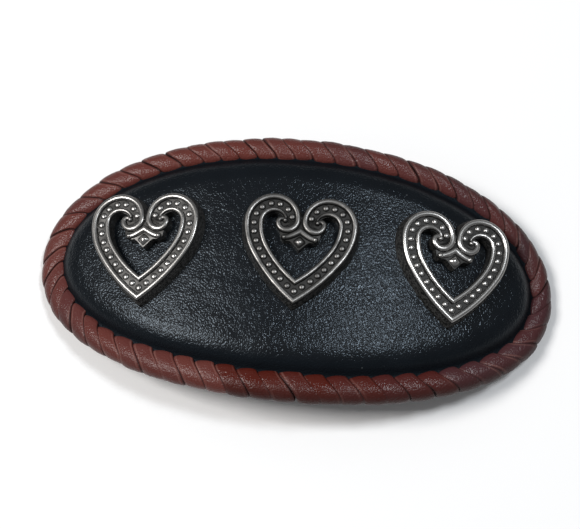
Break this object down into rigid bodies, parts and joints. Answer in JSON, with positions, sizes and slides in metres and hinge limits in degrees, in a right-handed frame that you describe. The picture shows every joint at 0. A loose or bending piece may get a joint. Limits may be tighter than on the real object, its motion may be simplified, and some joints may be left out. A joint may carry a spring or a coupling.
{
  "type": "leather barrette",
  "caption": "Curved oval leather hair barrette with a whip-laced edge, scrolled metal hearts on a raised black face, and a bar clasp behind it.",
  "frame": {"origin": "centre of the footprint, on the surface that the two laced ends rest on", "axes": "+X along the long axis, to the wearer's right in the picture's view; +Y towards the hearts' lobes; +Z out of the face"},
  "size_m": [0.0962, 0.0502, 0.0177],
  "materials": {
    "black_leather": "black pebbled leather, soft sheen",
    "brown_lace": "red-brown leather lace, waxed",
    "antiqued_metal": "cast metal, polished ridges over darkened recesses",
    "clasp_steel": "plated spring steel, satin"
  },
  "bodies": {
    "root": {"front_panel": "black_leather", "lacing": "brown_lace", "heart_left": "antiqued_metal", "heart_middle": "antiqued_metal", "heart_right": "antiqued_metal", "clasp": "clasp_steel"}
  },
  "joints": []
}
